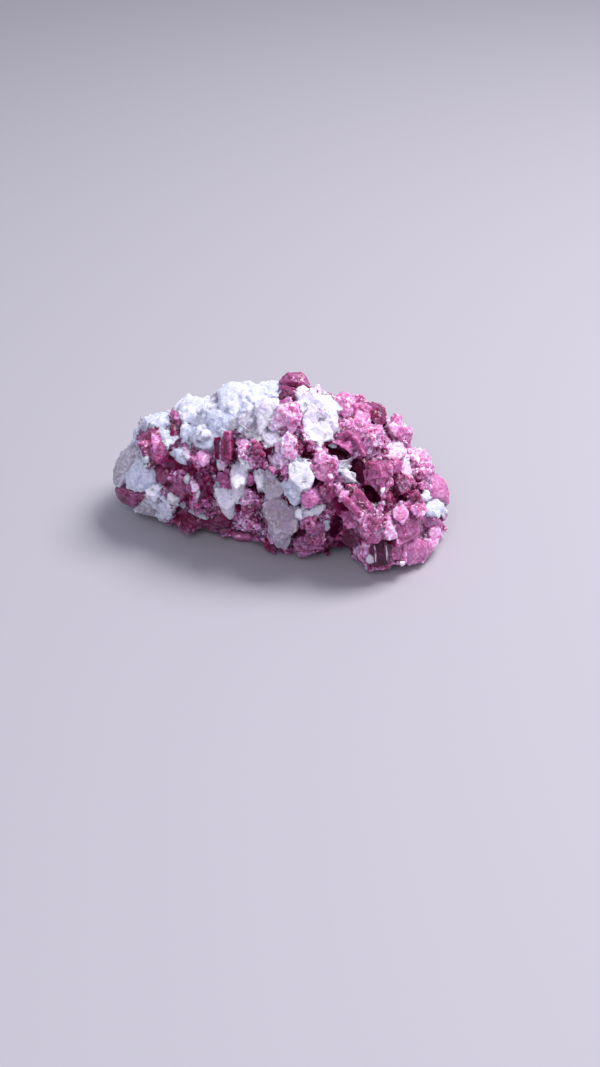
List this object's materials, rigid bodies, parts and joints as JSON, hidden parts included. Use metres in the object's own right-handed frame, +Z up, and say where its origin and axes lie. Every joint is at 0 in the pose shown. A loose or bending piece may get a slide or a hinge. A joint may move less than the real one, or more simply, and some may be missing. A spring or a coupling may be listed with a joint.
{
  "type": "rough tourmaline",
  "caption": "Loose rough stone of small pink crystals with flat faces, grown together with a massive white crust over its left shoulder and clefts in its front.",
  "frame": {"origin": "centre of the bounding box, at the ground the stone rests on", "axes": "+X along the stone, towards the end with the undercut; +Z up as it rests; -Y out of the side with the clefts"},
  "size_m": [0.0262, 0.0148, 0.0127],
  "materials": {
    "pink_tourmaline": "rough glassy crystal grains, dusty rose to deep maroon, cloudy inside",
    "white_albite": "massive sugary white feldspar with grey quartz, cloudy, pearly on its flat faces"
  },
  "bodies": {
    "root": {"rough_tourmaline": "pink_tourmaline"}
  },
  "joints": []
}
